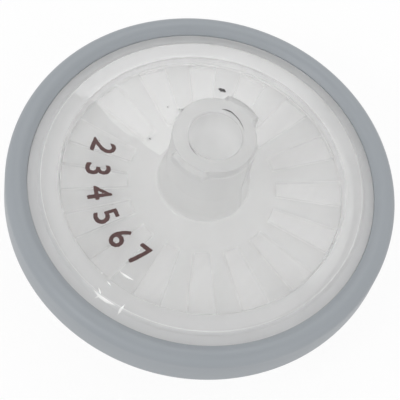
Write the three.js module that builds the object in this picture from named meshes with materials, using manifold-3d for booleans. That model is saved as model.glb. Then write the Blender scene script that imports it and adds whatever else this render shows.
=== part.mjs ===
// Syringe filter: two clamped housing halves, a filter disc and an overmoulded ring.
// Millimetres, +Z up. The origin is the middle of the outlet tip's end face.

import * as THREE from 'three';
import { mergeVertices } from 'three/addons/utils/BufferGeometryUtils.js';
import Module from 'manifold-3d';

const wasm = await Module();
wasm.setup();

// Filter disc
const discRadius = 13;
const discThickness = 0.5;
const discFit = 0.1; // radial clearance round the disc in its pocket
const clampWidth = 1; // edge of the disc that the two halves pinch

// Housing halves, alike in both up to the hub and the tip
const plateThickness = 1;
const channelDepth = 0.6;
const weldWidth = 2.3; // where the halves meet outside the disc
const shoulderWidth = 1.1;
const shoulderDrop = 0.45;
const edgeRound = 0.15;
const faceStep = 0.12; // the middle of each face lies this much lower
const faceStepWidth = 0.55;
const faceStepMargin = 1.45; // flat border between the step and the shoulder

// Radial ribs under the inlet face and over the outlet face
const ribCount = 16;
const ribShare = 0.5; // part of the pitch that is rib
const ribStart = -7; // degrees from +X to the middle of the first rib
const inletRibRadius = 6.3; // where the inlet's ribs begin
const outletRibRadius = 1.8;
const ribSink = 0.2; // how far a rib runs into the wall that carries it

// Luer cone, common to the socket and the tip
const luerTaper = 0.06; // change of diameter over length

// Inlet hub
const hubHeight = 7.8;
const hubRadius = 3.45;
const hubFootRadius = 3.8;
const hubFootHeight = 1;
const hubNeckHeight = 2; // from the foot's top to the hub's own radius
const hubFillet = 0.5;
const rimRound = 0.2;
const socketRadius = 2.15;
const socketDepth = 8;
const socketChamfer = 0.15;
const feedRadius = 0.8; // hole from the socket into the channels

// Lugs, on +X and -X
const lugCount = 2;
const lugRadius = 3.9;
const lugAngle = 53; // degrees round the hub
const lugHeight = 0.9;
const lugDrop = 0.1; // below the hub's mouth
const lugSink = 0.5; // how far a lug runs into the hub's wall

// Outlet tip
const tipLength = 7.7; // from the outlet face
const tipEndRadius = 1.975;
const tipBoreRadius = 1.1;
const tipChamfer = 0.15;
const tipFillet = 0.5;

// Overmoulded ring
const ringWall = 1.1; // outside the halves
const ringProud = 0.1; // above and below the faces
const lipWidth = 0.7; // reach over the edge of the halves
const lipThickness = 1;
const lipDrop = 0.5; // the lip's inner edge, below the ring's crest
const lipRound = 0.15;
const crownWidth = 0.6; // from the lip's inner edge to the crest
const ringRound = 0.8;
const ringFit = 0.03; // radial clearance to the halves

// Levels
const outletFace = tipLength;
const outletFloor = outletFace + plateThickness;
const discBottom = outletFloor + channelDepth;
const discTop = discBottom + discThickness;
const parting = discBottom + discThickness / 2;
const inletRoof = discTop + channelDepth;
const inletFace = inletRoof + plateThickness;
const hubTop = inletFace + hubHeight;
const ringTop = inletFace + ringProud;
const ringBottom = outletFace - ringProud;
const flangeTop = ringTop - lipThickness;
const flangeBottom = ringBottom + lipThickness;

// Radii
const channelRadius = discRadius - clampWidth;
const pocketRadius = discRadius + discFit;
const flangeRadius = pocketRadius + weldWidth;
const lipRadius = flangeRadius - lipWidth;
const faceRadius = lipRadius - shoulderWidth;
const stepRadius = faceRadius - faceStepMargin;
const ringRadius = flangeRadius + ringWall;

const radialSegments = 64;
const arcSteps = 3;

const point = (radius, height) => new THREE.Vector2(radius, height);
const rad = THREE.MathUtils.degToRad;

// Points on an arc of a profile, from one angle to another in degrees
function arc(radius, height, size, from, to, steps = arcSteps) {
  const points = [];
  for (let i = 0; i <= steps; i++) {
    const angle = rad(from + ((to - from) * i) / steps);
    points.push(point(radius + size * Math.cos(angle), height + size * Math.sin(angle)));
  }
  return points;
}

function solidFrom(geometry) {
  const source = geometry.index ? geometry.toNonIndexed() : geometry.clone();
  source.deleteAttribute('normal');
  source.deleteAttribute('uv');
  const merged = mergeVertices(source, 1e-4);
  return new wasm.Manifold(new wasm.Mesh({
    numProp: 3,
    vertProperties: new Float32Array(merged.attributes.position.array),
    triVerts: new Uint32Array(merged.index.array),
  }));
}

function geometryFrom(solid) {
  const mesh = solid.getMesh();
  const geometry = new THREE.BufferGeometry();
  geometry.setAttribute('position', new THREE.BufferAttribute(new Float32Array(mesh.vertProperties), 3));
  geometry.setIndex(new THREE.BufferAttribute(new Uint32Array(mesh.triVerts), 1));
  geometry.computeVertexNormals();
  return geometry;
}

// A closed profile of (radius, height) turned about Z
function turned(profile) {
  const geometry = new THREE.LatheGeometry([...profile, profile[0].clone()], radialSegments);
  geometry.rotateX(Math.PI / 2);
  return geometry;
}

// A block between two radii and two heights, centred on an angle in degrees
function sector(inner, outer, bottom, top, middle, width) {
  const half = rad(width / 2);
  const shape = new THREE.Shape();
  shape.absarc(0, 0, outer, -half, half, false);
  shape.absarc(0, 0, inner, half, -half, true);
  shape.closePath();
  const geometry = new THREE.ExtrudeGeometry(shape, {
    depth: top - bottom,
    bevelEnabled: false,
    curveSegments: arcSteps,
  });
  geometry.translate(0, 0, bottom);
  geometry.rotateZ(rad(middle));
  return geometry;
}

// Outer face of a half, from the middle outwards: the step, the flat border, the
// rounded shoulder and the flange under the ring. side is 1 for the inlet and -1
// for the outlet.
function faceProfile(face, flange, side) {
  const slope = Math.atan2(shoulderDrop, shoulderWidth);
  const round = Math.tan(slope / 2) * edgeRound;
  return [
    point(stepRadius - faceStepWidth, face - side * faceStep),
    point(stepRadius, face),
    point(faceRadius - round, face),
    point(faceRadius + round * Math.cos(slope), face - side * round * Math.sin(slope)),
    point(lipRadius, face - side * shoulderDrop),
    point(lipRadius, flange),
    point(flangeRadius, flange),
    point(flangeRadius, parting),
  ];
}

// Inner face of a half, from the weld inwards: the disc's pocket, the pinching
// edge and the wall of the channels
function pocketProfile(discFace, channelFace) {
  return [
    point(pocketRadius, parting),
    point(pocketRadius, discFace),
    point(channelRadius, discFace),
    point(channelRadius, channelFace),
  ];
}

function ribs(inner, bottom, top) {
  const pitch = 360 / ribCount;
  const solids = [];
  for (let i = 0; i < ribCount; i++) {
    const middle = ribStart + i * pitch;
    solids.push(solidFrom(sector(inner, channelRadius + ribSink, bottom, top, middle, pitch * ribShare)));
  }
  return solids;
}

function inletHousing() {
  const socketFloor = hubTop - socketDepth;
  const socketFloorRadius = socketRadius - (luerTaper / 2) * (socketDepth - socketChamfer);
  const foot = inletFace - faceStep;
  const profile = [
    point(feedRadius, inletRoof),
    point(feedRadius, socketFloor),
    point(socketFloorRadius, socketFloor),
    point(socketRadius, hubTop - socketChamfer),
    point(socketRadius + socketChamfer, hubTop),
    ...arc(hubRadius - rimRound, hubTop - rimRound, rimRound, 90, 0),
    point(hubRadius, foot + hubFootHeight + hubNeckHeight),
    point(hubFootRadius, foot + hubFootHeight),
    ...arc(hubFootRadius + hubFillet, foot + hubFillet, hubFillet, 180, 270),
    ...faceProfile(inletFace, flangeTop, 1),
    ...pocketProfile(discTop, inletRoof),
  ];
  let housing = solidFrom(turned(profile.reverse()));
  for (const rib of ribs(inletRibRadius, discTop, inletRoof + ribSink)) {
    housing = housing.add(rib);
  }
  for (let i = 0; i < lugCount; i++) {
    const top = hubTop - lugDrop;
    const middle = (i * 360) / lugCount;
    const lug = sector(hubRadius - lugSink, lugRadius, top - lugHeight, top, middle, lugAngle);
    housing = housing.add(solidFrom(lug));
  }
  return geometryFrom(housing);
}

function outletHousing() {
  const foot = outletFace + faceStep;
  const tipRootRadius = tipEndRadius + (luerTaper / 2) * (tipLength - tipFillet);
  const profile = [
    point(tipBoreRadius, outletFloor),
    point(tipBoreRadius, 0),
    point(tipEndRadius - tipChamfer, 0),
    point(tipEndRadius, tipChamfer),
    ...arc(tipRootRadius + tipFillet, foot - tipFillet, tipFillet, 180, 90),
    ...faceProfile(outletFace, flangeBottom, -1),
    ...pocketProfile(discBottom, outletFloor),
  ];
  let housing = solidFrom(turned(profile));
  for (const rib of ribs(outletRibRadius, outletFloor - ribSink, discBottom)) {
    housing = housing.add(rib);
  }
  return geometryFrom(housing);
}

function filterDisc() {
  const profile = [
    point(0, discBottom),
    point(discRadius, discBottom),
    point(discRadius, discTop),
    point(0, discTop),
  ];
  const geometry = new THREE.LatheGeometry(profile, radialSegments);
  geometry.rotateX(Math.PI / 2);
  return geometryFrom(solidFrom(geometry));
}

function overmouldRing() {
  const inner = lipRadius + ringFit;
  const seat = flangeRadius + ringFit;
  const profile = [
    point(seat, flangeBottom),
    point(seat, flangeTop),
    point(inner, flangeTop),
    ...arc(inner + lipRound, ringTop - lipDrop - lipRound, lipRound, 180, 90),
    point(inner + crownWidth, ringTop),
    ...arc(ringRadius - ringRound, ringTop - ringRound, ringRound, 90, 0),
    ...arc(ringRadius - ringRound, ringBottom + ringRound, ringRound, 0, -90),
    point(inner + crownWidth, ringBottom),
    ...arc(inner + lipRound, ringBottom + lipDrop + lipRound, lipRound, 270, 180),
    point(inner, flangeBottom),
  ];
  return geometryFrom(solidFrom(turned(profile.reverse())));
}

const housingMaterial = { color: 0xdfe2e3, roughness: 0.35, metalness: 0 };
const discMaterial = { color: 0xf4f4f1, roughness: 0.95, metalness: 0 };
const ringMaterial = { color: 0x9ca3a9, roughness: 0.5, metalness: 0 };

const syringeFilter = new THREE.Group();

function addPiece(name, geometry, material) {
  const mesh = new THREE.Mesh(geometry, new THREE.MeshStandardMaterial(material));
  mesh.name = name;
  syringeFilter.add(mesh);
}

addPiece('inlet_housing', inletHousing(), housingMaterial);
addPiece('outlet_housing', outletHousing(), housingMaterial);
addPiece('filter_disc', filterDisc(), discMaterial);
addPiece('overmould_ring', overmouldRing(), ringMaterial);

export default syringeFilter;
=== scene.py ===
import math
from functools import partial

import bmesh
import bpy
from mathutils import Matrix, Vector, noise

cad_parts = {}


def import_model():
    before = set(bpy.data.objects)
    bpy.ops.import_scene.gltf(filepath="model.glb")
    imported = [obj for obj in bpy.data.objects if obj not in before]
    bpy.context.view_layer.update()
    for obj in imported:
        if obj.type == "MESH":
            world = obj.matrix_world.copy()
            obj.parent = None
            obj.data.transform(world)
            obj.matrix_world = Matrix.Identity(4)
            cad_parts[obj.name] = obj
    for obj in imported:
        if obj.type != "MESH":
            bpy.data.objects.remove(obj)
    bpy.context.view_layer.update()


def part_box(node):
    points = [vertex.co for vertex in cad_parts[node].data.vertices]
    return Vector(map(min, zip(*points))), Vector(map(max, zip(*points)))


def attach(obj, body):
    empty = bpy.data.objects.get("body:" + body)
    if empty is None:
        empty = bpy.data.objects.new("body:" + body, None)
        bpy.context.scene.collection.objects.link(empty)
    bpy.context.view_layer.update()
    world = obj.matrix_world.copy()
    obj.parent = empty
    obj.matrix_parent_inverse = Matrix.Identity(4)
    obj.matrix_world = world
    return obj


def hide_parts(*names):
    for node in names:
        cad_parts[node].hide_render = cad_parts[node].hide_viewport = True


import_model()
print("frame loaded")

scene = bpy.context.scene
mm = 0.001
root = "root"

# corners of the CAD solids' boxes, in mm
inletLow, inletHigh = (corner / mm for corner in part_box("inlet_housing"))
outletLow, _ = (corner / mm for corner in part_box("outlet_housing"))
discLow, discHigh = (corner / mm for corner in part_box("filter_disc"))
ringLow, ringHigh = (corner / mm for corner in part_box("overmould_ring"))
parting = inletLow.z
hubTop = inletHigh.z
flangeRadius = inletHigh.x


def addNode(tree, kind, inputs=None, **settings):  # inputs are values or the sockets that feed them
    made = tree.nodes.new(kind)
    for key, value in settings.items():
        setattr(made, key, value)
    for key, value in (inputs or {}).items():
        if isinstance(value, bpy.types.NodeSocket):
            tree.links.new(value, made.inputs[key])
        else:
            made.inputs[key].default_value = value
    return made


def calculated(tree, operation, a, b=0.0):  # the result of a Math node
    return addNode(tree, "ShaderNodeMath", {0: a, 1: b}, operation=operation).outputs[0]


def newMaterial(name, **values):  # a Principled material with these socket values
    made = bpy.data.materials.new(name)
    made.use_nodes = True
    tree = made.node_tree
    shader = tree.nodes["Principled BSDF"]
    for key, value in values.items():
        shader.inputs[key.replace("_", " ")].default_value = value
    return made, tree, shader


def bareMaterial(name):  # without its Principled shader, and the socket that takes its light
    made = bpy.data.materials.new(name)
    made.use_nodes = True
    tree = made.node_tree
    tree.nodes.remove(tree.nodes["Principled BSDF"])
    return made, tree, tree.nodes["Material Output"].inputs["Surface"]


def onObject(tree):  # the place on the object, in metres
    return addNode(tree, "ShaderNodeTexCoord").outputs["Object"]


def axes(tree, place):  # its X, Y and Z
    return addNode(tree, "ShaderNodeSeparateXYZ", {0: place}).outputs


def cloudy(tree, place, scale, detail=2.0):  # noise about 0.5
    made = addNode(tree, "ShaderNodeTexNoise", {"Vector": place, "Scale": scale, "Detail": detail})
    return made.outputs["Fac"]


def blended(tree, shader, share, low, high):  # base colour between two tones
    tone = addNode(tree, "ShaderNodeMix", {
        "Factor": share, 6: (*low, 1), 7: (*high, 1)}, data_type="RGBA")
    tree.links.new(tone.outputs[2], shader.inputs["Base Color"])


def bumped(tree, shader, height, strength, distance):
    bump = addNode(tree, "ShaderNodeBump", {"Height": height, "Strength": strength, "Distance": distance})
    tree.links.new(bump.outputs["Normal"], shader.inputs["Normal"])


def mottled(name, roughness, scale, low, high):  # a material in patches of two tones
    made, tree, shader = newMaterial(name, Roughness=roughness)
    blended(tree, shader, cloudy(tree, onObject(tree), scale), low, high)
    return made


def newObject(name, mesh):
    made = bpy.data.objects.new(name, mesh)
    scene.collection.objects.link(made)
    return made


def meshFrom(bm, name):
    mesh = bpy.data.meshes.new(name)
    bm.to_mesh(mesh)
    bm.free()
    return mesh


def frozen(obj):  # the mesh with its modifiers worked in, which are then removed
    graph = bpy.context.evaluated_depsgraph_get()
    graph.update()
    mesh = bpy.data.meshes.new_from_object(obj.evaluated_get(graph), depsgraph=graph)
    obj.modifiers.clear()
    obj.data = mesh
    return obj


def filleted(corners, steps=5):  # (radius, height, fillet) corners of a closed outline, as points
    straight = math.radians(89.5)  # half the angle of a corner that hardly bends
    points = []
    for i, (radius, height, fillet) in enumerate(corners):
        here = Vector((radius, height))
        if not fillet:
            points.append(here)
            continue
        before = (Vector(corners[i - 1][:2]) - here).normalized()
        after = (Vector(corners[(i + 1) % len(corners)][:2]) - here).normalized()
        bend = before.angle(after) / 2
        if bend > straight:  # the points spread along the line
            points += [here + (before * (1 - 2 * k / steps)) * fillet for k in range(steps + 1)]
            continue
        centre = here + (before + after).normalized() * fillet / math.sin(bend)
        start = here + before * fillet / math.tan(bend) - centre
        end = here + after * fillet / math.tan(bend) - centre
        sweep = start.angle_signed(end)
        for k in range(steps + 1):
            points.append(centre + Matrix.Rotation(-sweep * k / steps, 2) @ start)
    return points


def lofted(name, columnAt, segments):  # a closed outline carried once round the axis
    weld = 1e-7  # points nearer than this become one, in metres
    bm = bmesh.new()
    columns = []
    for i in range(segments):
        turn = 2 * math.pi * i / segments
        column = []
        for radius, height in columnAt(turn):
            place = Vector((radius * math.cos(turn), radius * math.sin(turn), height))
            column.append(bm.verts.new(place * mm))
        columns.append(column)
    for i, column in enumerate(columns):
        following = columns[(i + 1) % segments]
        for j in range(len(column)):
            k = (j + 1) % len(column)
            bm.faces.new((column[j], column[k], following[k], following[j]))
    bmesh.ops.remove_doubles(bm, verts=bm.verts, dist=weld)
    bmesh.ops.recalc_face_normals(bm, faces=bm.faces)
    return meshFrom(bm, name)


def shaded(obj, sharp=32):  # smooth, with an edge sharp where it bends more than this
    obj.data.shade_smooth()
    obj.data.set_sharp_from_angle(angle=math.radians(sharp))


def geometryTree(name, sockets):  # a node group with named inputs, and its two end nodes
    tree = bpy.data.node_groups.new(name, "GeometryNodeTree")
    tree.interface.new_socket("Geometry", in_out="OUTPUT", socket_type="NodeSocketGeometry")
    for label, kind in sockets:
        tree.interface.new_socket(label, in_out="INPUT", socket_type=kind)
    return tree, tree.nodes.new("NodeGroupInput"), tree.nodes.new("NodeGroupOutput")


def polarPlace(tree, reach, turn, height):  # a point from its radius, its angle and its height
    return addNode(tree, "ShaderNodeCombineXYZ", {
        0: calculated(tree, "MULTIPLY", reach, calculated(tree, "COSINE", turn)),
        1: calculated(tree, "MULTIPLY", reach, calculated(tree, "SINE", turn)),
        2: height}).outputs[0]


def finishTree(tree, out, geometry, material):  # real meshes with their material, as the tree's result
    real = addNode(tree, "GeometryNodeRealizeInstances", {0: geometry})
    finish = addNode(tree, "GeometryNodeSetMaterial", {"Geometry": real.outputs[0], "Material": material})
    tree.links.new(finish.outputs[0], out.inputs[0])


def grown(name, tree, values):  # an object made by a node group from these input values
    obj = newObject(name, bpy.data.meshes.new(name))
    modifier = obj.modifiers.new("grown", "NODES")
    modifier.node_group = tree
    for item in tree.interface.items_tree:
        if item.item_type == "SOCKET" and item.in_out == "INPUT":
            modifier[item.identifier] = values[item.name]
    return frozen(obj)


plastics = {  # one clear polypropylene, by how it looks in each part; the lug, groove and edge tones are painted shade, the crest is painted highlight
    "plate": {"color": (0.97, 0.97, 0.97), "milkiness": 0.2, "body": 0.6, "roughness": 0.01},
    "channel": {"color": (0.94, 0.94, 0.94), "milkiness": 0.25, "body": 0.4, "roughness": 0.6},
    "rib": {"color": (1.0, 1.0, 1.0), "milkiness": 0.0, "body": 0.08, "roughness": 0.5},
    "hub": {"color": (0.77, 0.77, 0.77), "milkiness": 0.3, "body": 0.5, "roughness": 0.3},
    "socket": {"color": (1.0, 1.0, 1.0), "milkiness": 0.8, "body": 0.7, "roughness": 0.3},
    "rim": {"color": (0.77, 0.77, 0.77), "milkiness": 0.4, "body": 0.5, "roughness": 0.3},
    # painted shade: the lug on +X is drawn darker than the rest of the rim
    "lug": {"color": (0.58, 0.58, 0.58), "milkiness": 0.5, "body": 0.8, "roughness": 0.3},
    # painted shade: the slimmer rim between the lugs on -Y is drawn darker, as shade under the rim's edge
    "groove": {"color": (0.64, 0.64, 0.64), "milkiness": 0.5, "body": 0.6, "roughness": 0.3},
    # painted shade: the shoulder out to the ring is drawn darker than the plate
    "edge": {"color": (0.76, 0.765, 0.77), "milkiness": 0.5, "body": 0.95, "roughness": 0.45},
    # painted highlight: the white crest lines along the shoulder's edges
    "crest": {"color": (1.0, 1.0, 1.0), "milkiness": 0.9, "body": 0.5, "roughness": 0.6},
    "border": {"color": (0.885, 0.885, 0.885), "milkiness": 0.4, "body": 0.9, "roughness": 0.01},
    "wall": {"color": (0.92, 0.92, 0.92), "milkiness": 0.5, "body": 0.5, "roughness": 0.3},
    "weld": {"color": (1.0, 1.0, 1.0), "milkiness": 1.0, "body": 1.0, "roughness": 0.3},
}


plasticIor = 1.49
cloud = {"scale": 220.0, "detail": 3.0, "darkest": 0.92, "lightest": 1.02}  # faint patches of tone
wave = {"scale": 420.0, "strength": 0.01, "depth": 0.0005}  # faint unevenness of moulded faces
mouthShade = {"tone": 0.84, "depth": 3.0}  # the socket's tone at its mouth, and mm down to its full tone


def clearPlastic(part, look):  # body is the share that bends light, the rest lets it straight through
    made, tree, shader = newMaterial(
        "clear polypropylene " + part,
        Roughness=look["roughness"],
        IOR=plasticIor,
        Transmission_Weight=1 - look["milkiness"],
        Alpha=look["body"],
    )
    place = onObject(tree)
    tone = addNode(tree, "ShaderNodeMapRange", {
        "Value": cloudy(tree, place, cloud["scale"], cloud["detail"]),
        "To Min": cloud["darkest"], "To Max": cloud["lightest"]}).outputs["Result"]
    if part == "socket":
        x, y, z = axes(tree, place)
        depth = addNode(tree, "ShaderNodeMapRange", {
            "Value": z, "From Min": (hubTop - mouthShade["depth"]) * mm, "From Max": hubTop * mm,
            "To Min": 1.0, "To Max": mouthShade["tone"]}, interpolation_type="SMOOTHSTEP")
        tone = calculated(tree, "MULTIPLY", tone, depth.outputs["Result"])
    tint = addNode(tree, "ShaderNodeMix", {
        "Factor": 1.0, 6: (*look["color"], 1), 7: tone}, data_type="RGBA", blend_type="MULTIPLY")
    tree.links.new(tint.outputs[2], shader.inputs["Base Color"])
    bumped(tree, shader, cloudy(tree, place, wave["scale"]), wave["strength"], wave["depth"])
    return made


clear = {part: clearPlastic(part, look) for part, look in plastics.items()}
print("clear plastic made")


ringLook = {
    "pale": (0.352, 0.378, 0.404),
    "deep": (0.312, 0.338, 0.365),
    "roughness": 0.42,
    "streakScale": 2.2,
    "streakDetail": 4.0,
    "streakReach": 900.0,  # steps of noise for a metre across the ring, against 1 for a radian round it
    "grainScale": 5200.0,
    "grainDetail": 3.0,
    "grain": 0.05,
    "grainDepth": 0.0001,
}


def ringPlastic():
    look = ringLook
    made, tree, shader = newMaterial(
        "blue-grey polypropylene", Roughness=look["roughness"], IOR=plasticIor)
    place = onObject(tree)
    x, y, z = axes(tree, place)
    turn = calculated(tree, "ARCTAN2", y, x)
    reach = addNode(tree, "ShaderNodeVectorMath", {0: place}, operation="LENGTH").outputs["Value"]
    across = calculated(tree, "MULTIPLY", reach, look["streakReach"])
    flow = addNode(tree, "ShaderNodeCombineXYZ", {0: turn, 1: across})  # streaks run round the ring
    streak = cloudy(tree, flow.outputs[0], look["streakScale"], look["streakDetail"])
    blended(tree, shader, streak, look["deep"], look["pale"])
    grain = cloudy(tree, place, look["grainScale"], look["grainDetail"])
    bumped(tree, shader, grain, look["grain"], look["grainDepth"])
    return made


fleeceLook = {
    "fibre": (0.95, 0.95, 0.945),
    "gap": (0.9, 0.9, 0.895),
    "roughness": 0.9,
    "ior": 1.45,
    "lays": (0.3, 1.4, 2.5),  # turns of the lays of long thin fibres
    "stretch": (200, 2200, 2200),
    "gapTo": 0.42,  # noise under this is a gap, and over fibreFrom a fibre
    "fibreFrom": 0.72,
    "bump": 0.1,
    "bumpDepth": 0.00008,
}


def fleece():
    look = fleeceLook
    made, tree, shader = newMaterial(
        "glass fibre fleece", Roughness=look["roughness"], IOR=look["ior"])
    place = onObject(tree)
    lays = []
    for angle in look["lays"]:
        laid = addNode(tree, "ShaderNodeMapping", {
            "Vector": place, "Rotation": (0, 0, angle), "Scale": look["stretch"]})
        lays.append(cloudy(tree, laid.outputs[0], 1.0))
    web = lays[0]
    for lay in lays[1:]:
        web = calculated(tree, "MAXIMUM", web, lay)
    share = addNode(tree, "ShaderNodeMapRange", {
        "Value": web, "From Min": look["gapTo"], "From Max": look["fibreFrom"]})
    blended(tree, shader, share.outputs["Result"], look["gap"], look["fibre"])
    bumped(tree, shader, web, look["bump"], look["bumpDepth"])
    return made


half = {  # what the two welded halves share, in mm
    "plate": 1.0,
    "channel": 0.6,
    "lipWidth": 0.7,  # the part of the flange that the ring covers
    "lipThickness": 1.0,
    "lipGap": 0.02,  # the shoulder's foot stands this far inside the lip
    "footRound": 0.06,
    "shoulder": 1.1,
    "shoulderDrop": 0.45,
    "brow": 0.3,  # steeper stretch at the top of the shoulder
    "browDrop": 0.24,
    "browRound": 0.14,
    "border": 1.45,
    "borderRound": 0.08,
    "step": 0.1,
    "stepDrop": 0.03,
    "stepRound": 0.1,
    "clamp": 1.0,
    "clampRound": 0.04,
    "roofRound": 0.15,  # corner of the channel's outer wall
    "pocketFit": 0.1,
    "weldGap": 0.005,
    "discGap": 0.01,
    "weldReach": 0.7,  # inner faces this near the parting are frosted
    "weldTo": 14.65,  # out to this radius, where the frosting ends
    "lipReach": 1.38,  # height of the lip's inner edge over the parting
    "crestWidth": 0.07,  # painted highlights: white lines along both edges of the shoulder
    "segments": 288,
}
luerTaper = 0.06  # change of diameter over length
lipRadius = flangeRadius - half["lipWidth"]
faceRadius = lipRadius - half["shoulder"]
stepRadius = faceRadius - half["border"]
channelRadius = discHigh.x - half["clamp"]
pocketRadius = discHigh.x + half["pocketFit"]
inletRoof = discHigh.z + half["channel"]
inletFace = inletRoof + half["plate"]
outletFloor = discLow.z - half["channel"]
outletFace = outletFloor - half["plate"]


def faceCorners(face, side):  # of a half's outer face, side is 1 above and -1 below the parting
    return [
        (stepRadius - half["step"], face - side * half["stepDrop"], half["stepRound"]),
        (stepRadius, face, half["borderRound"]),
        (faceRadius, face, half["browRound"]),
        (faceRadius + half["brow"], face - side * half["browDrop"], half["browRound"]),
        (lipRadius - half["lipGap"], face - side * half["shoulderDrop"], half["footRound"]),
    ]


def halfCorners(face, roof, discFace, ringCrest, side):
    flange = ringCrest - side * half["lipThickness"]
    weld = parting + side * half["weldGap"]
    seat = discFace + side * half["discGap"]
    return [
        *faceCorners(face, side),
        (lipRadius - half["lipGap"], flange, 0),
        (flangeRadius, flange, 0),
        (flangeRadius, weld, 0),
        (half["weldTo"], weld, 0),
        (pocketRadius, weld, 0),
        (pocketRadius, seat, 0),
        (channelRadius, seat, half["clampRound"]),
        (channelRadius, roof, half["roofRound"]),
    ]


ribs = {  # capitals are inputs of the node group
    "Count": 16,
    "Share": 0.5,  # part of the pitch that is rib
    "Start": math.radians(-7),
    "Draft": 0.05,  # growth of that share from its free face to the plate
    "sink": 0.2,  # how far a rib runs into the plate, in mm
    "wallGap": 0.12,  # how far from the channel's wall it ends
    "discGap": 0.02,
    "points": 9,  # along the arc of a rib's ends
}


def ribTree():  # wedge ribs on rays from the axis
    tree, given, out = geometryTree("radial ribs", [
        ("Count", "NodeSocketInt"), ("Share", "NodeSocketFloat"), ("Start", "NodeSocketFloat"),
        ("Draft", "NodeSocketFloat"), ("Inner", "NodeSocketFloat"), ("Outer", "NodeSocketFloat"),
        ("Bottom", "NodeSocketFloat"), ("Top", "NodeSocketFloat"), ("Material", "NodeSocketMaterial")])
    value = given.outputs
    math2 = partial(calculated, tree)
    block = addNode(tree, "GeometryNodeMeshCube", {
        "Size": (1, 1, 1), "Vertices X": 2, "Vertices Y": ribs["points"], "Vertices Z": 2})
    x, y, z = axes(tree, addNode(tree, "GeometryNodeInputPosition").outputs[0])

    def between(low, high, share):  # share runs from -0.5 to 0.5
        width = math2("SUBTRACT", high, low)
        return math2("ADD", low, math2("MULTIPLY", width, math2("ADD", share, 0.5)))

    pitch = math2("DIVIDE", 2 * math.pi, value["Count"])
    widened = math2("ADD", value["Share"], math2("MULTIPLY", z, value["Draft"]))
    turn = math2("MULTIPLY", math2("MULTIPLY", y, pitch), widened)
    reach = between(value["Inner"], value["Outer"], x)
    height = between(value["Bottom"], value["Top"], z)
    rib = addNode(tree, "GeometryNodeSetPosition", {
        "Geometry": block.outputs[0], "Position": polarPlace(tree, reach, turn, height)})
    spots = addNode(tree, "GeometryNodeMeshLine", {"Count": value["Count"], "Offset": (0, 0, 0)})
    index = addNode(tree, "GeometryNodeInputIndex").outputs[0]
    angle = math2("ADD", value["Start"], math2("MULTIPLY", index, pitch))
    facing = addNode(tree, "ShaderNodeCombineXYZ", {2: angle})
    ring = addNode(tree, "GeometryNodeInstanceOnPoints", {
        "Points": spots.outputs[0], "Instance": rib.outputs[0], "Rotation": facing.outputs[0]})
    finishTree(tree, out, ring.outputs[0], value["Material"])
    return tree


ribNodes = ribTree()


inlet = {  # luer-lock hub, in mm
    "hubRadius": 3.45,
    "footRadius": 3.8,
    "footHeight": 1.0,
    "footRound": 1.0,
    "neck": 2.0,  # from the foot's top to the hub's own radius
    "neckRound": 1.2,
    "fillet": 0.5,
    "rimRound": 0.12,
    "relief": 0.12,  # between the lugs the rim is this much slimmer on -Y
    "farRelief": -0.04,  # and on +Y, where it is a little fuller than the wall
    "reliefTop": 0.15,  # a plain point, this far under the lugs' top, pairs with the corner there
    "reliefFoot": 0.1,  # the slimmer rim ends this far over the lugs' foot
    "reliefRounds": (0.04, 0.03, 0.04),  # from the top down
    "rimBand": 0.9,  # height of the rim's zones
    "rimSink": 0.014,  # the rim lies this far under the CAD solid's top, to leave room for its marks
    "socketRadius": 2.15,
    "socketDepth": 8.0,
    "socketRound": 0.12,
    "mouthChamfer": 0.15,
    "mouthRounds": (0.08, 0.05),  # below and above the chamfer
    "feedRadius": 0.8,
    "feedRound": 0.05,
    "ribRadius": 6.3,
    "lugRadius": 4.0,
    "lugHeight": 0.9,
    "lugDrop": 0.1,
    "lugHalfWidth": 26.5,  # degrees
    "lugFade": 9.0,  # degrees in which a lug's end falls away
    "lugRound": 0.12,
    "lugRimRound": 0.08,
    "lugNook": 0.01,  # fillet between a lug's top and the rim
    "lugFootRound": 0.1,
    "lugFootDrop": 0.3,  # a plain point, this far under the lugs' foot, pairs with the corner there
    "ridge": 0.08,  # parting line of the mould, up both sides of the hub
    "ridgeWidth": 2.0,  # degrees
    "ridgeFrom": 0.3,  # over the face
    "ridgeInner": 0.1,  # the hub's outside begins this far inside its radius
    "ridgeOuter": 4.2,  # and ends at this radius
    "burr": 0.22,  # the ridge stands out this far at the rim on +Y
    "burrHeight": 0.3,
}


zones = [zone for zone in plastics if zone != "rib"]  # in the order of a housing's material slots
zoneMargin = {  # where a zone begins or ends, in mm
    "wallInner": 0.15,  # inside the channel's outer wall
    "wallOuter": 0.01,
    "wallLow": 0.19,  # under the channel's roof
    "wallHigh": 0.01,  # over it
    "lip": 0.03,  # to both sides of the lip's radius
    "border": 0.05,  # under the face
    "channel": 0.05,  # over and under the channels
    "socketWall": 0.02,  # outside the socket's radius
    "socketTop": 0.5,  # under the hub's top
    "lug": 0.3,  # outside the hub's radius
    "grooveInner": 0.6,  # outside the socket's radius
    "grooveOuter": 0.02,  # inside the hub's radius
    "grooveTop": 0.05,  # under the hub's top
    "foot": 0.1,  # outside the hub's foot
}


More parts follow.
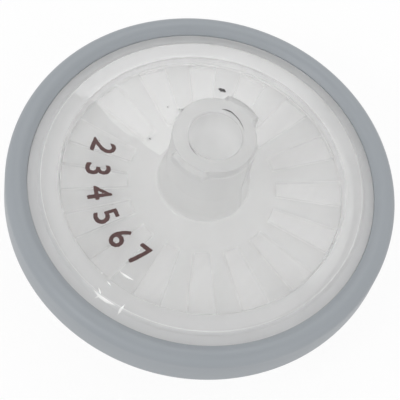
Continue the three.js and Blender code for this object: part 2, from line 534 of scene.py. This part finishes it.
def zoneAt(place, hubRadius):  # which part of a housing a face belongs to, by its middle in mm
    size = zoneMargin
    radius = place.xy.length
    height = place.z
    level = abs(height - parting)
    roof = inletRoof - parting
    if level < half["weldReach"] and channelRadius < radius < half["weldTo"]:
        return "weld"
    atWall = channelRadius - size["wallInner"] < radius < channelRadius - size["wallOuter"]
    if atWall and roof - size["wallLow"] < level < roof + size["wallHigh"]:
        return "wall"
    if level < half["lipReach"] and abs(radius - lipRadius) < size["lip"]:
        return "weld"
    # painted highlight: faces near the shoulder's two edges are drawn white
    offCrest = min(abs(radius - faceRadius), lipRadius - radius)
    if level > half["lipReach"] and offCrest < half["crestWidth"]:
        return "crest"
    if stepRadius < radius < faceRadius and level > inletFace - parting - size["border"]:
        return "border"
    # painted shade: faces past the face's edge take the darker edge tone
    if radius > faceRadius:
        return "edge"
    inside = outletFloor - size["channel"] < height < inletRoof + size["channel"]
    if radius > inlet["feedRadius"] and inside:
        return "channel"
    inSocket = radius < inlet["socketRadius"] + size["socketWall"]
    if inSocket and inletRoof < height < hubTop - size["socketTop"]:
        return "socket"
    if height > hubTop - inlet["rimBand"]:
        # painted shade: only the lug on +X takes the darker lug tone
        if radius > inlet["hubRadius"] + size["lug"] and place.x > 0:
            return "lug"
        # painted shade: the groove zone is the slimmer rim band, drawn darker
        grooveInner = inlet["socketRadius"] + size["grooveInner"]
        inGroove = grooveInner < radius < inlet["hubRadius"] - size["grooveOuter"]
        return "groove" if inGroove and height < hubTop - size["grooveTop"] else "rim"
    if radius < hubRadius:
        return "hub"
    return "plate"


def finishedByZone(housing, hubRadius):
    for zone in zones:
        housing.data.materials.append(clear[zone])
    for face in housing.data.polygons:
        face.material_index = zones.index(zoneAt(face.center / mm, hubRadius))


def withRibs(housing, inner, bottom, top):  # ribs grown by the nodes and fused to the plate
    values = {
        "Count": ribs["Count"], "Share": ribs["Share"], "Start": ribs["Start"],
        "Draft": ribs["Draft"] if top > parting else -ribs["Draft"],
        "Inner": inner * mm, "Outer": (channelRadius - ribs["wallGap"]) * mm,
        "Bottom": bottom * mm, "Top": top * mm, "Material": clear["rib"],
    }
    grid = grown("rib grid", ribNodes, values)
    fuse = housing.modifiers.new("fuse", "BOOLEAN")
    fuse.operation = "UNION"
    fuse.solver = "EXACT"
    fuse.material_mode = "TRANSFER"
    fuse.object = grid
    frozen(housing)
    bpy.data.objects.remove(grid)


def inletCorners(lugged, relief):  # relief slims the rim between the lugs
    size = inlet
    wall = size["hubRadius"]
    top = hubTop - size["lugDrop"]
    low = top - size["lugHeight"]
    floor = hubTop - size["socketDepth"]
    rimTop = hubTop - size["rimSink"]
    foot = inletFace - half["stepDrop"]
    neck = foot + size["footHeight"]
    chamferRound, mouthRound = size["mouthRounds"]
    if lugged:
        rim = [
            (wall, rimTop, size["lugRimRound"]),
            (wall, top, size["lugNook"]),
            (size["lugRadius"], top, size["lugRound"]),
            (size["lugRadius"], low, size["lugRound"]),
            (wall, low, size["lugFootRound"]),
        ]
    else:
        upper, lower, under = size["reliefRounds"]
        rim = [
            (wall - relief, rimTop, size["rimRound"]),
            (wall - relief, top - size["reliefTop"], upper),
            (wall - relief, low + size["reliefFoot"], lower),
            (wall, low, under),
            (wall, low - size["lugFootDrop"], size["lugFootRound"]),
        ]
    return [
        (size["feedRadius"], inletRoof, 0),
        (size["feedRadius"], floor, size["feedRound"]),
        (size["socketRadius"] - luerTaper / 2 * size["socketDepth"], floor, size["socketRound"]),
        (size["socketRadius"], hubTop - size["mouthChamfer"], chamferRound),
        (size["socketRadius"] + size["mouthChamfer"], rimTop, mouthRound),
        *rim,
        (wall, neck + size["neck"], size["neckRound"]),
        (size["footRadius"], neck, size["footRound"]),
        (size["footRadius"], foot, size["fillet"]),
        *halfCorners(inletFace, inletRoof, discHigh.z, ringHigh.z, 1),
    ]


def inletHousing():
    size = inlet
    slim, full = (filleted(inletCorners(False, size[key])) for key in ("relief", "farRelief"))
    lugged = filleted(inletCorners(True, 0))
    ridgeLow = inletFace + size["ridgeFrom"]
    ridgeHigh = hubTop - size["rimRound"]
    burrLow = hubTop - size["burrHeight"]

    def column(turn):
        degrees = math.degrees(turn)
        offLug = abs((degrees + 90) % 180 - 90)  # from the nearer lug's middle
        offRidge = abs(degrees % 180 - 90)
        share = (size["lugHalfWidth"] + size["lugFade"] / 2 - offLug) / size["lugFade"]
        share = min(max(share, 0), 1)
        share = share * share * (3 - 2 * share)
        onRidge = max(0, 1 - offRidge / size["ridgeWidth"])
        points = []
        for a, b in zip(full if degrees < 180 else slim, lugged):
            radius, height = a.lerp(b, share)
            outside = onRidge and size["hubRadius"] - size["ridgeInner"] < radius < size["ridgeOuter"]
            if outside and degrees < 180 and height > burrLow:
                radius += onRidge * size["burr"]
            elif outside and ridgeLow < height < ridgeHigh:
                radius += onRidge * size["ridge"]
            points.append((radius, height))
        return points

    housing = newObject("inlet_shell", lofted("inlet_shell", column, half["segments"]))
    finishedByZone(housing, size["footRadius"] + zoneMargin["foot"])
    withRibs(housing, size["ribRadius"], discHigh.z + ribs["discGap"], inletRoof + ribs["sink"])
    shaded(housing)
    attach(housing, root)
    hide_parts("inlet_housing")


inletHousing()
print("inlet half made")


outlet = {  # luer tip, in mm
    "tipRadius": 1.975,
    "tipChamfer": 0.15,
    "tipFillet": 0.5,
    "boreRadius": 1.1,
    "boreRound": 0.05,
    "ribRadius": 1.8,
}


def outletHousing():
    size = outlet
    foot = outletFace + half["stepDrop"]
    rootRadius = size["tipRadius"] + luerTaper / 2 * (foot - outletLow.z)
    corners = [
        (size["boreRadius"], outletFloor, size["boreRound"]),
        (size["boreRadius"], outletLow.z, size["boreRound"]),
        (size["tipRadius"], outletLow.z, size["tipChamfer"]),
        (rootRadius, foot, size["tipFillet"]),
        *halfCorners(outletFace, outletFloor, discLow.z, ringLow.z, -1),
    ]
    points = filleted(corners)
    housing = newObject("outlet_shell", lofted("outlet_shell", lambda turn: points, half["segments"]))
    finishedByZone(housing, rootRadius + size["tipFillet"])
    withRibs(housing, size["ribRadius"], outletFloor - ribs["sink"], discLow.z - ribs["discGap"])
    shaded(housing)
    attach(housing, root)
    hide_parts("outlet_housing")


outletHousing()
print("outlet half made")


disc = {  # in mm and degrees
    "rings": 40,
    "segments": 160,
    "ripple": 0.012,
    "rippleScale": 1.1,
    "rippleApart": 5,  # keeps the noise of the two faces apart
    "sharp": 50,
}


def filterDisc():
    bm = bmesh.new()
    layers = []
    for height, sign in ((discHigh.z, 1), (discLow.z, -1)):
        centre = bm.verts.new(Vector((0, 0, height - sign * disc["ripple"])) * mm)
        rows = []
        for k in range(1, disc["rings"] + 1):
            radius = discHigh.x * k / disc["rings"]
            row = []
            for i in range(disc["segments"]):
                turn = 2 * math.pi * i / disc["segments"]
                x = radius * math.cos(turn)
                y = radius * math.sin(turn)
                spot = Vector((x, y, sign * disc["rippleApart"]))
                dip = disc["ripple"] * (1 + noise.noise(spot * disc["rippleScale"]))
                row.append(bm.verts.new((spot.x * mm, spot.y * mm, (height - sign * dip) * mm)))
            rows.append(row)
        layers.append((centre, rows))
    for centre, rows in layers:
        for i in range(disc["segments"]):
            j = (i + 1) % disc["segments"]
            bm.faces.new((centre, rows[0][i], rows[0][j]))
            for inner, outer in zip(rows, rows[1:]):
                bm.faces.new((inner[i], outer[i], outer[j], inner[j]))
    top, bottom = layers[0][1][-1], layers[1][1][-1]
    for i in range(disc["segments"]):
        j = (i + 1) % disc["segments"]
        bm.faces.new((top[i], bottom[i], bottom[j], top[j]))
    bmesh.ops.recalc_face_normals(bm, faces=bm.faces)
    made = newObject("fleece_disc", meshFrom(bm, "fleece_disc"))
    made.data.materials.append(fleece())
    shaded(made, disc["sharp"])
    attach(made, root)
    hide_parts("filter_disc")


filterDisc()
print("filter disc made")


band = {  # overmoulded ring, in mm
    "lipDrop": 0.42,
    "lipFit": 0.01,  # the lip reaches this far inside lipRadius, just clear of the shoulder's foot
    "lipRound": 0.05,
    "crown": 0.6,  # from the lip's edge to the crest
    "crownRound": 0.9,
    "edgeRound": 0.8,
    "roundSteps": 7,
    "seatGap": 0.01,
    "segments": 288,
}


def overmouldRing():
    size = band
    inner = lipRadius - size["lipFit"]
    seat = flangeRadius + size["seatGap"]
    thickness = half["lipThickness"] - size["seatGap"]
    corners = [(seat, ringLow.z + thickness, 0)]
    for crest, side in ((ringHigh.z, 1), (ringLow.z, -1)):
        edge = [
            (seat, crest - side * thickness, 0),
            (inner, crest - side * thickness, 0),
            (inner, crest - side * size["lipDrop"], size["lipRound"]),
            (inner + size["crown"], crest, size["crownRound"]),
            (ringHigh.x, crest, size["edgeRound"]),
        ]
        corners += edge if side > 0 else edge[:0:-1]
    points = filleted(corners, size["roundSteps"])
    ring = newObject("clamp_ring", lofted("clamp_ring", lambda turn: points, size["segments"]))
    ring.data.materials.append(ringPlastic())
    shaded(ring)
    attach(ring, root)
    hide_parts("overmould_ring")


overmouldRing()
print("ring made")


ink = {
    "name": "printing ink",
    "roughness": 0.45,
    "scale": 3600.0,
    "low": (0.03, 0.012, 0.014),
    "high": (0.14, 0.06, 0.055),
}
digits = {  # inputs of the node group, lengths in mm
    "Text": "2 3 4 5 6 7",
    "Size": 2.9,
    "Spacing": 1.07,
    "Weight": 0.05,  # added to each side of a stroke
    "Baseline": 9.85,
    "Start": math.radians(106.5),
    "Thickness": 0.012,
    "Step": 0.07,  # between the points of an outline
    "Ragged": 0.022,  # which are moved by up to this much
    "Seed": 4,
}


def digitTree(font):  # a line of print, filled, raised and bent round the hub
    tree, given, out = geometryTree("digits on an arc", [
        ("Text", "NodeSocketString"), ("Size", "NodeSocketFloat"), ("Spacing", "NodeSocketFloat"),
        ("Baseline", "NodeSocketFloat"), ("Start", "NodeSocketFloat"), ("Height", "NodeSocketFloat"),
        ("Thickness", "NodeSocketFloat"), ("Step", "NodeSocketFloat"), ("Ragged", "NodeSocketFloat"),
        ("Weight", "NodeSocketFloat"), ("Seed", "NodeSocketInt"), ("Material", "NodeSocketMaterial")])
    value = given.outputs
    math2 = partial(calculated, tree)
    line = addNode(tree, "GeometryNodeStringToCurves", {
        "String": value["Text"], "Size": value["Size"], "Character Spacing": value["Spacing"]}, font=font)
    loose = addNode(tree, "GeometryNodeRealizeInstances", {0: line.outputs[0]})
    even = addNode(tree, "GeometryNodeResampleCurve", {
        "Curve": loose.outputs[0], "Length": value["Step"]}, mode="LENGTH")
    jitter = addNode(tree, "FunctionNodeRandomValue", {
        "Min": math2("MULTIPLY", value["Ragged"], -1.0), "Max": value["Ragged"],
        "Seed": value["Seed"]}, data_type="FLOAT_VECTOR")
    flat = addNode(tree, "ShaderNodeVectorMath", {0: jitter.outputs[0], 1: (1, 1, 0)}, operation="MULTIPLY")
    along = addNode(tree, "GeometryNodeInputTangent").outputs[0]
    aside = addNode(tree, "ShaderNodeVectorMath", {0: along, 1: (0, 0, 1)}, operation="CROSS_PRODUCT")
    grow = addNode(tree, "ShaderNodeVectorMath", {
        0: aside.outputs[0], "Scale": value["Weight"]}, operation="SCALE")
    moved = addNode(tree, "ShaderNodeVectorMath", {0: flat.outputs[0], 1: grow.outputs[0]}, operation="ADD")
    ragged = addNode(tree, "GeometryNodeSetPosition", {
        "Geometry": even.outputs[0], "Offset": moved.outputs[0]})
    filled = addNode(tree, "GeometryNodeFillCurve", {"Curve": ragged.outputs[0]}, mode="TRIANGLES")
    raised = addNode(tree, "GeometryNodeExtrudeMesh", {
        "Mesh": filled.outputs[0], "Offset Scale": value["Thickness"], "Individual": False})
    under = addNode(tree, "GeometryNodeFlipFaces", {0: filled.outputs[0]})
    closed = addNode(tree, "GeometryNodeJoinGeometry")
    for layer in (raised, under):
        tree.links.new(layer.outputs[0], closed.inputs[0])
    welded = addNode(tree, "GeometryNodeMergeByDistance", {"Geometry": closed.outputs[0], "Distance": 1e-6})
    x, y, z = axes(tree, addNode(tree, "GeometryNodeInputPosition").outputs[0])
    turn = math2("ADD", value["Start"], math2("DIVIDE", x, value["Baseline"]))
    reach = math2("SUBTRACT", value["Baseline"], y)
    height = math2("ADD", value["Height"], z)
    bent = addNode(tree, "GeometryNodeSetPosition", {
        "Geometry": welded.outputs[0], "Position": polarPlace(tree, reach, turn, height)})
    finishTree(tree, out, bent.outputs[0], value["Material"])
    return tree


def printedDigits():
    lengths = ("Size", "Baseline", "Thickness", "Step", "Ragged", "Weight")
    values = {key: value * mm if key in lengths else value for key, value in digits.items()}
    values["Height"] = (inletFace - half["stepDrop"]) * mm
    values["Material"] = mottled(**ink)
    font = bpy.data.curves.new("plain", "FONT").font
    made = grown("printed_digits", digitTree(font), values)
    bm = bmesh.new()
    bm.from_mesh(made.data)
    bmesh.ops.recalc_face_normals(bm, faces=bm.faces)
    bm.to_mesh(made.data)
    bm.free()
    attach(made, root)


printedDigits()
print("digits printed")


def topHeight(radius):  # of the inlet's outer face, in mm
    corners = faceCorners(inletFace, 1)
    for (near, nearHeight, _), (far, farHeight, _) in zip(corners, corners[1:]):
        if near < radius < far:
            return nearHeight + (farHeight - nearHeight) * (radius - near) / (far - near)
    return corners[0][1]


darkMark = {
    "name": "dark speck",
    "roughness": 0.6,
    "scale": 6000.0,
    "low": (0.02, 0.02, 0.025),
    "high": (0.16, 0.15, 0.15),
}
specks = {
    # degrees from +X, radius, length, width, turn of the long side
    "spots": [
        (27.6, 9.15, 0.42, 0.26, 118),
        (29.0, 9.19, 0.28, 0.2, 90),
        (26.4, 9.09, 0.24, 0.15, 140),
        (62, 7.6, 0.12, 0.08, 40),
        (108, 9.4, 0.1, 0.06, 0),
        (148, 8.0, 0.09, 0.06, 70),
        (88.7, 5.87, 0.16, 0.12, 0),
    ],
    "thickness": 0.05,
    "rough": 0.8,  # how unlike a ball they are
    "roughScale": 1.6,
    "seed": 3.7,
}
markSharp = 60  # degrees, in all small marks


def darkSpecks():
    bm = bmesh.new()
    for degrees, radius, length, width, turn in specks["spots"]:
        lump = bmesh.ops.create_icosphere(bm, subdivisions=3, radius=mm)["verts"]
        level = Matrix.Translation((0, 0, topHeight(radius) * mm))
        spot = Matrix.Rotation(math.radians(degrees), 4, "Z") @ Matrix.Translation((radius * mm, 0, 0))
        turned = Matrix.Rotation(math.radians(turn), 4, "Z")
        squash = Matrix.Diagonal((length / 2, width / 2, specks["thickness"], 1))
        offset = Vector((specks["seed"], degrees, 0))
        for vert in lump:
            vert.co *= 1 + specks["rough"] * noise.noise(vert.co / mm * specks["roughScale"] + offset)
            vert.co = level @ spot @ turned @ squash @ vert.co
    made = newObject("dark_specks", meshFrom(bm, "dark_specks"))
    made.data.materials.append(mottled(**darkMark))
    shaded(made, markSharp)
    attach(made, root)


darkSpecks()
print("specks made")


strip = {"steps": 12, "tip": 0.08}  # a sliver's ends keep this share of its width


def sliver(bm, path, width, thick, heightAt):  # a strip that tapers to both ends
    steps = strip["steps"]
    rows = []
    for k in range(steps + 1):
        share = k / steps * (len(path) - 1)
        low = min(int(share), len(path) - 2)
        degrees, radius = Vector(path[low]).lerp(Vector(path[low + 1]), share - low)
        span = 0.5 * width * max(math.sin(math.pi * k / steps), strip["tip"])
        ahead = Vector(path[low + 1]) - Vector(path[low])
        along = Vector((ahead.y, math.radians(ahead.x) * radius)).normalized()
        row = []
        for side, rise in ((-1, 0), (0, thick), (1, 0)):
            out = radius - side * span * along.y
            turn = math.radians(degrees) + side * span * along.x / radius
            place = Vector((out * math.cos(turn), out * math.sin(turn), heightAt(out) + rise))
            row.append(bm.verts.new(place * mm))
        rows.append(row)
    for first, second in zip(rows, rows[1:]):
        for j in range(3):
            k = (j + 1) % 3
            bm.faces.new((first[j], first[k], second[k], second[j]))
    bm.faces.new(rows[0])
    bm.faces.new(rows[-1])


def slivers(name, marks, material, heightAt):
    bm = bmesh.new()
    for path, width, thick in marks:
        sliver(bm, path, width, thick, heightAt)
    bmesh.ops.recalc_face_normals(bm, faces=bm.faces)
    made = newObject(name, meshFrom(bm, name))
    made.data.materials.append(material)
    shaded(made, markSharp)
    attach(made, root)


glintPaint = {  # painted glints: white marks that stand in for the lamp's glints
    "name": "painted glint",
    "roughness": 0.3,
    "scale": 5000.0,
    "low": (0.9, 0.9, 0.88),
    "high": (1, 1, 1),
}


def mouthHeight(radius):  # of the rim and the chamfer inside it, in mm
    chamfer = inlet["mouthChamfer"]
    return hubTop - inlet["rimSink"] - min(max(inlet["socketRadius"] + chamfer - radius, 0), chamfer)


# painted glints on the face and shoulder, as white slivers
paintedGlints = [  # (degrees, radius) points, width, thickness
    ([(180.5, 11.05), (183.8, 11.05), (187.2, 11.0)], 0.2, 0.02),
    ([(178.0, 13.7), (181.2, 13.77), (184.2, 13.75), (187.2, 13.67)], 0.2, 0.02),
    ([(178.8, 13.3), (180.9, 13.6)], 0.13, 0.02),
    ([(180.0, 14.1), (180.9, 13.65)], 0.12, 0.02),
    ([(189.7, 13.25), (189.4, 13.7), (189.3, 14.15)], 0.2, 0.02),
    ([(175.4, 12.12), (176.0, 12.14)], 0.12, 0.02),
    ([(179.4, 12.4), (181.6, 12.5)], 0.14, 0.02),
]
# dark lines drawn along the socket's mouth and at the rim on +Y
mouthMarks = [
    ([(26, 2.5), (17, 2.56), (7, 2.55), (-9, 2.45), (-24, 2.38), (-37, 2.36)], 0.08, 0.01),
    ([(27, 2.47), (19, 2.55), (9, 2.57), (-2, 2.5)], 0.13, 0.012),
    ([(146, 2.3), (164, 2.34), (183, 2.42)], 0.05, 0.006),
    ([(93, 3.4), (90, 3.44), (86.5, 3.38)], 0.09, 0.01),
]
# painted glints: the white slivers stand in for the lamp's glints on the near-left face and shoulder
slivers("paintedGlints", paintedGlints, mottled(**glintPaint), topHeight)
slivers("mouth_marks", mouthMarks, mottled(**darkMark), mouthHeight)
print("painted glints and mouth lines made")


shot = {  # camera, in mm and degrees
    "azimuth": -65.5,
    "elevation": 62.0,
    "roll": 15.6,
    "distance": 131.7,
    "shiftRight": 0.17,
    "shiftUp": -1.62,
    "lens": 141.57,
    "sensor": 36,
    "clipStart": 5,
    "clipEnd": 20000,
}


def camera():
    turn = math.radians(shot["azimuth"])
    rise = math.radians(shot["elevation"])
    tilt = math.radians(shot["roll"])
    back = Vector((math.sin(turn) * math.cos(rise), -math.cos(turn) * math.cos(rise), math.sin(rise)))
    right = Vector((math.cos(turn), math.sin(turn), 0))
    up = back.cross(right)
    aim = Vector((0, 0, inletFace)) + right * shot["shiftRight"] + up * shot["shiftUp"]
    place = aim + back * shot["distance"]
    rolledRight = right * math.cos(tilt) + up * math.sin(tilt)
    rolledUp = up * math.cos(tilt) - right * math.sin(tilt)
    data = bpy.data.cameras.new("camera")
    data.lens = shot["lens"]
    data.sensor_width = shot["sensor"]
    data.clip_start = shot["clipStart"] * mm
    data.clip_end = shot["clipEnd"] * mm
    made = newObject("camera", data)
    turned = Matrix((rolledRight, rolledUp, back)).transposed().to_4x4()
    made.matrix_world = Matrix.Translation(place * mm) @ turned
    scene.camera = made


camera()
print("camera set")


studio = {  # lamps and distances, in mm and degrees
    "dome": 0.86,  # light that falls on things from all sides
    "ceiling": 0.4,  # what gloss and clear walls see overhead, the rest of the room is 1
    "ceilingFrom": 54,  # height over the horizon
    "ceilingTo": 72,
    "shadow": 0.09,  # share of the floor's white that a shadow can take away
    "bounce": 0.8,  # share of light that the floor sends back up
    "floorReach": 3000,
    "keyTurn": 165,  # degrees round the part
    "keyHeight": 47,
    "keyDistance": 600,
    "keyRadius": 58,
    "keyRadiance": 13.0,
}
card = {  # overhead, its mirror image lies on the far part of the plate up to a straight edge
    "height": 260,  # over the plate
    "radiance": 3.2,
    # the mirror image, to the right and away from the camera in the plane of the plate
    "halfWidth": 26,
    "far": 26,
    "near": 0.33,
    "nearSlant": -0.493,  # change of near for each step to the right
    "fadeFrom": -1,  # its light fades away to the right
    "fadeTo": 16,
    "eyeHeight": 116.3,  # the camera's over the plate, which tells how much larger the card itself is
    "lean": 0.531,  # the line of sight runs this far along for each step down
}


def panel(name, corners, material):
    mesh = bpy.data.meshes.new(name)
    mesh.from_pydata(corners, [], [(0, 1, 2, 3)])
    mesh.materials.append(material)
    return newObject(name, mesh)


def seenDirectly(tree):  # 1 for camera, mirror and see-through rays, 0 for light that falls on things
    path = addNode(tree, "ShaderNodeLightPath")
    total = path.outputs["Is Camera Ray"]
    for kind in ("Is Glossy Ray", "Is Transmission Ray"):
        total = calculated(tree, "MAXIMUM", total, path.outputs[kind])
    return total


def world():  # white where the camera looks, with a darker ceiling for gloss and clear walls
    made = bpy.data.worlds.new("studio")
    made.use_nodes = True
    tree = made.node_tree
    x, y, z = axes(tree, addNode(tree, "ShaderNodeTexCoord").outputs["Generated"])
    overhead = addNode(tree, "ShaderNodeMapRange", {
        "Value": z,
        "From Min": math.sin(math.radians(studio["ceilingFrom"])),
        "From Max": math.sin(math.radians(studio["ceilingTo"])),
        "To Min": 1.0, "To Max": studio["ceiling"]}, interpolation_type="SMOOTHSTEP")
    room = addNode(tree, "ShaderNodeMapRange", {
        "Value": seenDirectly(tree), "To Min": studio["dome"], "To Max": overhead.outputs["Result"]})
    level = addNode(tree, "ShaderNodeMapRange", {
        "Value": addNode(tree, "ShaderNodeLightPath").outputs["Is Camera Ray"],
        "To Min": room.outputs["Result"], "To Max": 1.0})
    tree.links.new(level.outputs["Result"], tree.nodes["Background"].inputs["Strength"])
    tree.nodes["Background"].inputs["Color"].default_value = (1, 1, 1, 1)
    scene.world = made


def floor():
    material, tree, surface = bareMaterial("pale floor")
    share = studio["shadow"]
    plain = addNode(tree, "ShaderNodeBsdfDiffuse", {"Color": (studio["bounce"],) * 3 + (1,)})
    kept = addNode(tree, "ShaderNodeBsdfDiffuse", {"Color": (share,) * 3 + (1,)})
    white = addNode(tree, "ShaderNodeEmission", {"Color": (1, 1, 1, 1), "Strength": 1 - share})
    shown = addNode(tree, "ShaderNodeAddShader", {0: kept.outputs[0], 1: white.outputs[0]})
    both = addNode(tree, "ShaderNodeMixShader", {
        0: seenDirectly(tree), 1: plain.outputs[0], 2: shown.outputs[0]})
    tree.links.new(both.outputs[0], surface)
    size = studio["floorReach"] * mm
    corners = [(-size, -size, 0), (size, -size, 0), (size, size, 0), (-size, size, 0)]
    made = panel("floor", corners, material)


def keyLamp():
    light = bpy.data.lights.new("key", "AREA")
    light.shape = "DISK"
    light.size = 2 * studio["keyRadius"] * mm
    area = math.pi * (studio["keyRadius"] * mm) ** 2
    light.energy = studio["keyRadiance"] * math.pi * area
    lamp = newObject("key", light)
    turn = math.radians(studio["keyTurn"])
    rise = math.radians(studio["keyHeight"])
    away = Vector((math.cos(rise) * math.cos(turn), math.cos(rise) * math.sin(turn), math.sin(rise)))
    target = Vector((0, 0, inletFace * mm))
    place = Matrix.Translation(target + away * studio["keyDistance"] * mm)
    lamp.matrix_world = place @ away.to_track_quat("Z", "Y").to_matrix().to_4x4()


def brightCard():
    turn = math.radians(shot["azimuth"])
    grow = 1 + card["height"] / card["eyeHeight"]
    material, tree, surface = bareMaterial("bright card")
    turned = addNode(tree, "ShaderNodeMapping", {"Vector": onObject(tree), "Rotation": (0, 0, -turn)})
    x, y, z = axes(tree, turned.outputs[0])
    fade = addNode(tree, "ShaderNodeMapRange", {
        "Value": x, "From Min": card["fadeFrom"] * grow * mm, "From Max": card["fadeTo"] * grow * mm,
        "To Min": card["radiance"], "To Max": 0.0}, interpolation_type="SMOOTHSTEP")
    glow = addNode(tree, "ShaderNodeEmission", {"Strength": fade.outputs["Result"]})
    through = addNode(tree, "ShaderNodeBsdfTransparent")
    added = addNode(tree, "ShaderNodeAddShader", {0: glow.outputs[0], 1: through.outputs[0]})
    tree.links.new(added.outputs[0], surface)
    ahead = card["lean"] * card["height"]
    right = card["halfWidth"]
    corners = []
    for side, far in ((-right, False), (right, False), (right, True), (-right, True)):
        away = card["far"] if far else card["near"] + card["nearSlant"] * side
        place = Vector((side * grow, ahead + away * grow, inletFace + card["height"]))
        corners.append(Matrix.Rotation(turn, 4, "Z") @ place * mm)
    made = panel("card", corners, material)
    made.visible_camera = False
    made.visible_diffuse = False


world()
floor()
keyLamp()
brightCard()
print("studio lit")


scene.view_settings.view_transform = "Standard"
scene.cycles.max_bounces = 32  # light crosses many clear walls
scene.cycles.transmission_bounces = 24
scene.cycles.diffuse_bounces = 10
scene.cycles.glossy_bounces = 8

print("scene ready")
